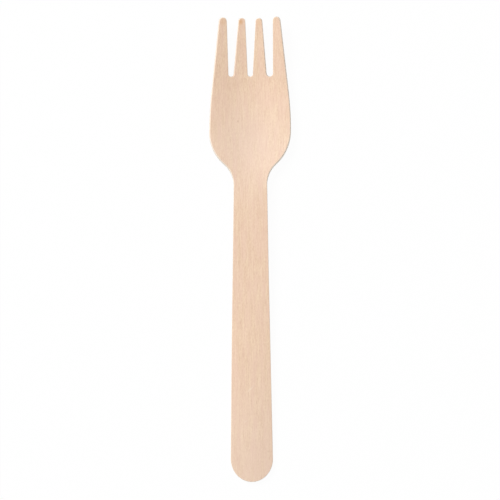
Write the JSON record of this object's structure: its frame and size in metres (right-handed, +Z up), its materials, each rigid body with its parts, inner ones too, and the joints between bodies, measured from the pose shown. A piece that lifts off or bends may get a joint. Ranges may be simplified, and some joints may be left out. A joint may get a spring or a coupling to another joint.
{
  "type": "disposable wooden fork",
  "caption": "Pressed wooden fork with a shallow dished head, tapering tines and a straight handle with a round end.",
  "frame": {"origin": "middle of the fork's length and width, on the surface that it lies on", "axes": "+Y along the fork towards the tips of the tines, +X across it to the right as seen from above, +Z up, with the hollow side of the head up"},
  "size_m": [0.0282, 0.16, 0.0064],
  "materials": {
    "birch_veneer": "bare sanded birch veneer, satin, with fine straight grain along the fork"
  },
  "bodies": {
    "root": {"fork": "birch_veneer"}
  },
  "joints": []
}
